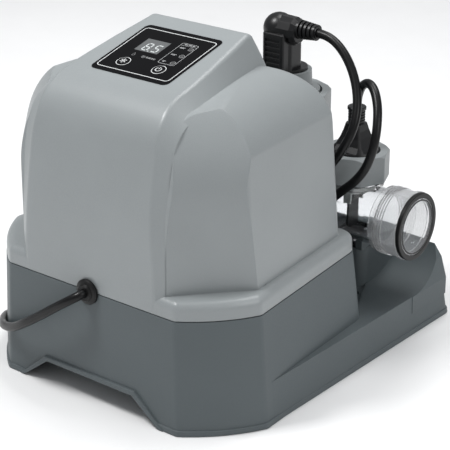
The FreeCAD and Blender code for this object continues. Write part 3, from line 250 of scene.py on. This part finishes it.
SLOTS = {
    "base_plastic": moulded("base_plastic", (0.082, 0.098, 0.104), 0.5),
    "cover_plastic": moulded("cover_plastic", (0.250, 0.269, 0.274), 0.34, rounded=0.0012, specular=0.5),
    "nut_plastic": moulded("nut_plastic", (0.215, 0.231, 0.235), 0.42),
    "panel_film": glossy("panel_film", (0.0035, 0.0035, 0.004), 0.16, coat=0.0, specular=0.06),
    "window_film": glossy("window_film", (0.105, 0.11, 0.112), 0.22, coat=0.1),
    "key_plastic": glossy("key_plastic", (0.004, 0.004, 0.0045), 0.2, coat=0.0, specular=0.06),
    "light_pipe": glossy("light_pipe", (0.05, 0.05, 0.05), 0.3),
    "clear_plastic": clear("clear_plastic", (0.93, 0.94, 0.95), 0.03, 0.22, 0.106),
    "black_plastic": moulded("black_plastic", (0.0045, 0.0045, 0.005), 0.34, 0.00002, 0.0005, 0.4),
    "cord_sheath": rubbery("cord_sheath", (0.002, 0.002, 0.0022), 0.34),
    "seal_rubber": rubbery("seal_rubber", (0.004, 0.004, 0.004), 0.4),
    "board": circuit("board", (0.012, 0.09, 0.04)),
    "component_black": moulded("component_black", (0.018, 0.018, 0.02), 0.4),
    "capacitor_sleeve": glossy("capacitor_sleeve", (0.02, 0.03, 0.08), 0.25),
    "terminal_plastic": moulded("terminal_plastic", (0.03, 0.20, 0.09), 0.45),
    "copper": wound("copper", (0.62, 0.26, 0.12)),
    "core_steel": metal("core_steel", (0.20, 0.20, 0.21), 0.45, (1.0, 1.0, 30.0), 0.00006),
    "screw_steel": metal("screw_steel", (0.56, 0.57, 0.58), 0.3),
    "aluminium": metal("aluminium", (0.66, 0.67, 0.69), 0.35),
    "electrode_metal": metal("electrode_metal", (0.16, 0.15, 0.15), 0.5, (1.0, 12.0, 1.0), 0.00004),
    "insert_plastic": moulded("insert_plastic", (0.62, 0.64, 0.62), 0.4),
    "pin_brass": metal("pin_brass", (0.78, 0.62, 0.34), 0.22),
}


def dress_nodes():
    """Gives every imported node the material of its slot."""
    for part in frame["record"]["subparts"]:
        shown = nodes[part["node"]]
        shown.data.materials.clear()
        shown.data.materials.append(SLOTS[part["material_slot"]])


# ---------------------------------------------------------------- camera and light

VIEW_TURN = math.radians(38.68)          # from the front towards the right
VIEW_RISE = math.radians(22.81)
VIEW_DISTANCE = 1.3226
VIEW_TARGET = Vector((0.01821, -0.01156, 0.10719))
LENS = 127.2


def outward(turn, rise):
    return Vector((math.sin(turn) * math.cos(rise), -math.cos(turn) * math.cos(rise), math.sin(rise)))


def add_camera():
    data = bpy.data.cameras.new("camera")
    data.lens = LENS
    data.sensor_width = 36.0
    data.clip_start = 0.01
    camera = bpy.data.objects.new("camera", data)
    back = outward(VIEW_TURN, VIEW_RISE)
    camera.location = VIEW_TARGET + back * VIEW_DISTANCE
    camera.rotation_euler = back.to_track_quat("Z", "Y").to_euler()
    bpy.context.scene.collection.objects.link(camera)
    bpy.context.scene.camera = camera


def add_light(name, turn, rise, distance, size, power):
    data = bpy.data.lights.new(name, "AREA")
    data.size = size
    data.energy = power
    light = bpy.data.objects.new(name, data)
    way = outward(math.radians(turn), math.radians(rise))
    light.location = Vector((0, 0, 0.12)) + way * distance
    light.rotation_euler = way.to_track_quat("Z", "Y").to_euler()
    bpy.context.scene.collection.objects.link(light)


def add_studio():
    add_light("key", turn=-35, rise=61, distance=1.7, size=0.4, power=20)
    add_light("back_top", turn=175, rise=72, distance=2.1, size=1.1, power=24)
    add_light("right_fill", turn=85, rise=30, distance=1.8, size=0.8, power=7)
    world = bpy.data.worlds.new("studio")
    world.use_nodes = True
    world.node_tree.nodes["Background"].inputs["Color"].default_value = (0.95, 0.97, 1.0, 1.0)
    world.node_tree.nodes["Background"].inputs["Strength"].default_value = 0.38
    bpy.context.scene.world = world
    bpy.context.scene.view_settings.view_transform = "Standard"
    floor = mesh_object("floor", flat_sheet(8.0), None)
    floor.location.z = -0.0005
    pale = Shader("floor_paint")
    tone = pale.mixed(pale.between(pale.noise(3), 0.0, 1.0), (0.86, 0.86, 0.86), (0.9, 0.9, 0.9))
    pale.set(Base_Color=tone, Roughness=pale.between(pale.noise(40), 0.6, 0.75))
    floor.data.materials.append(pale.material)


# ---------------------------------------------------------------- mesh building


def mesh_object(name, bm, material):
    mesh = bpy.data.meshes.new(name)
    bm.to_mesh(mesh)
    bm.free()
    piece = bpy.data.objects.new(name, mesh)
    bpy.context.scene.collection.objects.link(piece)
    if material:
        mesh.materials.append(material)
    return piece


def flat_sheet(width):
    bm = bmesh.new()
    bmesh.ops.create_grid(bm, x_segments=8, y_segments=8, size=width / 2)
    return bm


# ---------------------------------------------------------------- cords

# Radii, free stretches and coil, in millimetres.
MAINS_RADIUS, LEAD_RADIUS = 3.7, 3.8
MAINS_ROUTE = [(0, -163.9, 95), (0, -167, 95), (-4.2, -171.3, 92), (-11.6, -173.7, 87),
               (-21.8, -174.5, 80), (-29.3, -175, 74.5), (-37.3, -175, 69), (-46.6, -175, 62.6),
               (-56.5, -174.5, 56.3), (-68.7, -172, 48.4), (-80.2, -168.5, 42.8), (-92.6, -162.6, 38.5),
               (-102.2, -155.2, 35), (-110.7, -146.7, 31.8), (-118.9, -137.9, 28.5),
               (-126.3, -128.7, 25), (-133.2, -119, 20.5), (-138.6, -110.4, 16), (-141.8, -100, 12),
               (-144, -89, 8.5), (-146.5, -76, 5.5), (-149.5, -60, 3.9), (-153, -40, 3.75),
               (-152.3, -20, 3.75), (-151, 0, 3.75), (-149.8, 20, 3.75), (-149.25, 35, 3.75)]
CELL_ROUTE = [(30, 90, 252.7), (43, 90, 252.7), (55, 89.5, 248.5), (66, 87.5, 240.5), (76.5, 84, 229),
              (85.5, 78, 215.5), (91.5, 70.5, 201.5), (93, 63, 187), (89, 58, 174), (81, 56, 160),
              (69, 55, 145), (55, 55, 130), (43, 56, 113), (36, 57.5, 92), (35, 57, 70), (35, 57, 50)]
SENSOR_ROUTE = [(73, 97.5, 186), (73, 97.5, 199.5), (75.8, 96, 208), (81, 92.8, 215.5),
                (89.5, 88.7, 220.5), (99, 83.5, 217.5), (107.5, 76, 207.5), (112.5, 69, 197),
                (115, 63.5, 185), (114, 60, 171), (109, 58.5, 157), (99.5, 57.5, 144), (87, 57, 133),
                (75, 57, 121), (66, 57, 107), (62.6, 57.5, 89), (62, 57, 70), (62, 57, 50)]
COIL_CENTRE = (-202.0, 45.0)
COIL_RADII = (52.75, 45.25, 37.75, 30.25)
LAYER_HEIGHTS = (3.75, 11.25)
WHOLE_TURNS = 7
POINTS_PER_TURN = 24
# Where in a turn the cord starts to change ring or layer, and the share of a turn that it takes.
STEP_IN = (0.85, 0.12)
STEP_OUT = (0.11, 0.11)
CLIMB = (3.6, 0.15)
TAIL_ANGLE = math.radians(20)
TAIL_RUNS = (12, 27, 41)


def eased(turn, move):
    """How much of a move is done at this turn, from 0 to 1."""
    start, length = move
    share = max(0.0, min(1.0, (turn - start) / length))
    return share * share * (3 - 2 * share)


def coil_turns():
    """The wound turns: inwards along the floor, up at the innermost turn, and outwards again on top."""
    points = []
    total = WHOLE_TURNS + TAIL_ANGLE / (2 * math.pi)
    for i in range(1, int(total * POINTS_PER_TURN) + 1):
        turn = i / POINTS_PER_TURN
        whole, part = int(turn), turn % 1.0
        if turn < 3:
            step_in = COIL_RADII[whole + 1] - COIL_RADII[whole]
            radius = COIL_RADII[whole] + step_in * eased(part, STEP_IN)
        elif turn < 4:
            radius = COIL_RADII[3]
        else:
            step = whole - 4
            radius = COIL_RADII[3 - step]
            if step < 3:
                radius += (COIL_RADII[2 - step] - COIL_RADII[3 - step]) * eased(part, STEP_OUT)
        height = LAYER_HEIGHTS[0] + (LAYER_HEIGHTS[1] - LAYER_HEIGHTS[0]) * eased(turn, CLIMB)
        angle = 2 * math.pi * turn
        points.append((COIL_CENTRE[0] + radius * math.cos(angle),
                       COIL_CENTRE[1] + radius * math.sin(angle), height))
    return points


def tail_points():
    x = COIL_CENTRE[0] + COIL_RADII[0] * math.cos(TAIL_ANGLE)
    y = COIL_CENTRE[1] + COIL_RADII[0] * math.sin(TAIL_ANGLE)
    along_x, along_y = -math.sin(TAIL_ANGLE), math.cos(TAIL_ANGLE)
    return [(x + run * along_x, y + run * along_y, LAYER_HEIGHTS[1]) for run in TAIL_RUNS]


def cord_curve(name, route, radius):
    curve = bpy.data.curves.new(name, "CURVE")
    curve.dimensions = "3D"
    spline = curve.splines.new("NURBS")
    spline.points.add(len(route) - 1)
    for point, place in zip(spline.points, route):
        point.co = (place[0] * MM, place[1] * MM, place[2] * MM, 1.0)
    spline.order_u = 3
    spline.use_endpoint_u = True
    curve.resolution_u = 8
    curve.bevel_depth = radius * MM
    curve.bevel_resolution = 6
    curve.use_fill_caps = True
    curve.materials.append(SLOTS["cord_sheath"])
    piece = bpy.data.objects.new(name, curve)
    bpy.context.scene.collection.objects.link(piece)
    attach(piece, "root")
    return piece


def add_cords():
    mains = cord_curve("mains_cord_line", MAINS_ROUTE + coil_turns() + tail_points(), MAINS_RADIUS)
    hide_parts("mains_cord", "mains_cord_coil", "mains_cord_tail")
    for name, route, length in (("cell_lead", CELL_ROUTE, 0.26), ("sensor_lead", SENSOR_ROUTE, 0.247)):
        lead = cord_curve(name + "_line", route, LEAD_RADIUS)
        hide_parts(name)


# ---------------------------------------------------------------- port seals

SEAL_LIP_RADII = (22.7 * MM, 24.0 * MM)
SEAL_LIP_DEPTH = 0.32 * MM


def ring_about_x(outline, y, z, sides=96):
    """A closed ring about an axis along X, from the (x, radius) corners of its section."""
    bm = bmesh.new()
    rings = []
    for x, radius in outline:
        turns = [2 * math.pi * i / sides for i in range(sides)]
        rings.append([bm.verts.new((x, y + radius * math.cos(a), z + radius * math.sin(a))) for a in turns])
    for one, other in zip(rings, rings[1:] + rings[:1]):
        for i in range(sides):
            j = (i + 1) % sides
            bm.faces.new((one[i], one[j], other[j], other[i]))
    bmesh.ops.recalc_face_normals(bm, faces=bm.faces)
    return bm


def add_seal_lips():
    """The inner lip of each flat seal, which lies on the tube's clear rim."""
    for side in ("right", "left"):
        low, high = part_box("port_seal_" + side)
        face = high[0] if side == "right" else low[0]
        rim = face - math.copysign(SEAL_LIP_DEPTH, face)
        inner, outer = SEAL_LIP_RADII
        outline = [(rim, inner), (face, inner), (face, outer), (rim, outer)]
        bm = ring_about_x(outline, (low[1] + high[1]) / 2, (low[2] + high[2]) / 2)
        lip = mesh_object("seal_lip_" + side, bm, SLOTS["seal_rubber"])
        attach(lip, "root")


# ---------------------------------------------------------------- panel printing

PANEL_ORIGIN = Vector((0.0, -72.9, 265.65))
PANEL_SLOPE = math.radians(14.6)
PANEL_TOP, WINDOW_TOP, KEY_TOP = 0.35, 0.25, 0.85        # heights above the panel's plane
INK = 0.04
MODE_KEY, POWER_KEY = (-18.0, -19.3), (18.0, -19.3)
LIGHT_ROWS = (15.0, 4.0, -7.0)


def on_panel(bm, height):
    """Moves flat artwork, drawn across X and up Y in millimetres, to its height above the panel."""
    place = Matrix.Translation(PANEL_ORIGIN) @ Matrix.Rotation(PANEL_SLOPE, 4, "X")
    place = Matrix.Scale(MM, 4) @ place @ Matrix.Translation((0, 0, height))
    bmesh.ops.transform(bm, matrix=place, verts=bm.verts)
    return bm


def stroke(bm, points, width, closed=False):
    """A line of ink with mitred corners."""
    points = [Vector((*p, 0.0)) for p in points]
    count = len(points)
    left, right = [], []
    for i, point in enumerate(points):
        before = points[(i - 1) % count] if closed or i else point
        after = points[(i + 1) % count] if closed or i < count - 1 else point
        into = (point - before).normalized() if point != before else (after - point).normalized()
        out = (after - point).normalized() if after != point else into
        side = Vector((-into.y - out.y, into.x + out.x, 0)).normalized()
        reach = width / 2 / max(0.5, side.dot(Vector((-out.y, out.x, 0))))
        left.append(bm.verts.new(point + side * reach))
        right.append(bm.verts.new(point - side * reach))
    for i in range(count if closed else count - 1):
        j = (i + 1) % count
        bm.faces.new((right[i], right[j], left[j], left[i]))


def bow(centre, radius, start, end, steps=32):
    angles = [math.radians(start + (end - start) * i / steps) for i in range(steps + 1)]
    return [(centre[0] + radius * math.cos(a), centre[1] + radius * math.sin(a)) for a in angles]


def rounded_frame(x0, x1, y0, y1, radius):
    return (bow((x1 - radius, y1 - radius), radius, 0, 90, 8)
            + bow((x0 + radius, y1 - radius), radius, 90, 180, 8)
            + bow((x0 + radius, y0 + radius), radius, 180, 270, 8)
            + bow((x1 - radius, y0 + radius), radius, 270, 360, 8))


def printed_piece(name, draw, height, material, body="root"):
    bm = bmesh.new()
    draw(bm)
    piece = mesh_object(name, on_panel(bm, height), material)
    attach(piece, body)
    return piece


def draw_frames(bm):
    stroke(bm, rounded_frame(-36.3, 36.3, -31.2, 31.2, 3.2), 0.75, True)
    for key in (MODE_KEY, POWER_KEY):
        stroke(bm, bow(key, 5.75, 0, 354, 59), 0.6, True)


def draw_fine_print(bm):
    stroke(bm, rounded_frame(9.0, 25.2, -10.4, 21.8, 2.0), 0.4, True)
    stroke(bm, [(9.2, 18.6), (25.0, 18.6)], 0.3)
    for x0, x1 in ((12.0, 15.4), (16.2, 19.0), (19.8, 22.4)):
        stroke(bm, [(x0, 20.2), (x1, 20.2)], 0.9)
    for y, x0, x1 in ((15.0, 11.4, 16.6), (4.0, 11.4, 16.4), (-7.0, 11.4, 14.6)):
        stroke(bm, [(x0, y + 0.45), (x1, y + 0.45)], 0.55)
        stroke(bm, [(x0, y - 0.55), (x1 - 0.8, y - 0.55)], 0.55)
    for y in LIGHT_ROWS:
        stroke(bm, bow((22.0, y), 2.1, 0, 350, 35), 0.25, True)
    for x0, x1 in ((-4.6, -2.6), (-2.1, 0.2), (0.7, 2.6), (3.1, 4.6)):
        stroke(bm, [(x0, -7.3), (x1, -7.3)], 0.5)
        stroke(bm, [(x0, -8.4), (x1, -8.4)], 0.5)


def draw_small_marks(bm):
    stroke(bm, bow((-7.3, -7.8), 1.5, 0, 345, 23), 0.35, True)
    stroke(bm, [(-8.3, -7.8), (-6.3, -7.8)], 0.35)
    stroke(bm, [(-7.3, -8.8), (-7.3, -6.8)], 0.35)
    drop = bow((-17.5, -8.0), 1.15, 150, 390, 20) + [(-17.5, -5.4)]
    stroke(bm, drop, 0.35, True)


def draw_mode_mark(bm):
    x, y = MODE_KEY
    for turn in (30, 90, 150):
        dx, dy = 3.1 * math.cos(math.radians(turn)), 3.1 * math.sin(math.radians(turn))
        stroke(bm, [(x - dx, y - dy), (x + dx, y + dy)], 0.6)
    for turn in range(0, 360, 60):
        tip = bow((x, y), 2.2, turn + 8, turn + 52, 4)
        stroke(bm, tip, 0.4)


def draw_power_mark(bm):
    x, y = POWER_KEY
    stroke(bm, bow((x, y - 0.3), 2.5, 125, 415, 30), 0.7)
    stroke(bm, [(x, y + 0.2), (x, y + 3.1)], 0.7)


SEGMENT_GAP = 0.55            # how far a segment's ink stops short of its corners
SEGMENTS = {"a": ((0, 2), (1, 2)), "b": ((1, 2), (1, 1)), "c": ((1, 1), (1, 0)), "d": ((0, 0), (1, 0)),
            "e": ((0, 1), (0, 0)), "f": ((0, 2), (0, 1)), "g": ((0, 1), (1, 1))}


def draw_digit(bm, x, y, lit, width=5.0, height=5.0, thick=1.05):
    """A slanted seven-segment figure with its lower left corner at x, y."""
    for name in lit:
        ends = []
        for u, v in SEGMENTS[name]:
            ends.append(Vector((x + u * width + v * 0.5, y + v * height)))
        along = (ends[1] - ends[0]).normalized() * SEGMENT_GAP
        stroke(bm, [tuple(ends[0] + along), tuple(ends[1] - along)], thick)


def draw_figures(bm):
    draw_digit(bm, -17.4, 1.2, "abcdefg")
    draw_digit(bm, -8.0, 1.2, "acdfg")
    stroke(bm, [(-10.6, 0.8), (-9.5, 0.8)], 1.1)


def draw_faint_figures(bm):
    draw_digit(bm, -8.0, 1.2, "be", thick=0.9)


def add_panel_print():
    white = printed("white_ink", (0.62, 0.63, 0.63))
    grey = printed("grey_ink", (0.27, 0.27, 0.275))
    printed_piece("panel_frames", draw_frames, PANEL_TOP + INK, white)
    printed_piece("panel_labels", draw_fine_print, PANEL_TOP + INK,
                  printed("label_ink", (0.40, 0.405, 0.41)))
    printed_piece("panel_marks", draw_small_marks, PANEL_TOP + INK, grey)
    printed_piece("mode_mark", draw_mode_mark, KEY_TOP + INK, white, "key_mode")
    printed_piece("power_mark", draw_power_mark, KEY_TOP + INK, white, "key_power")
    printed_piece("display_figures", draw_figures, WINDOW_TOP + INK,
                  glowing("lit_segments", (0.55, 0.58, 0.58), 0.12))
    printed_piece("display_unlit", draw_faint_figures, WINDOW_TOP + INK,
                  printed("unlit_segments", (0.13, 0.135, 0.135)))


dress_nodes()
add_camera()
add_studio()
add_cords()
add_seal_lips()
add_panel_print()
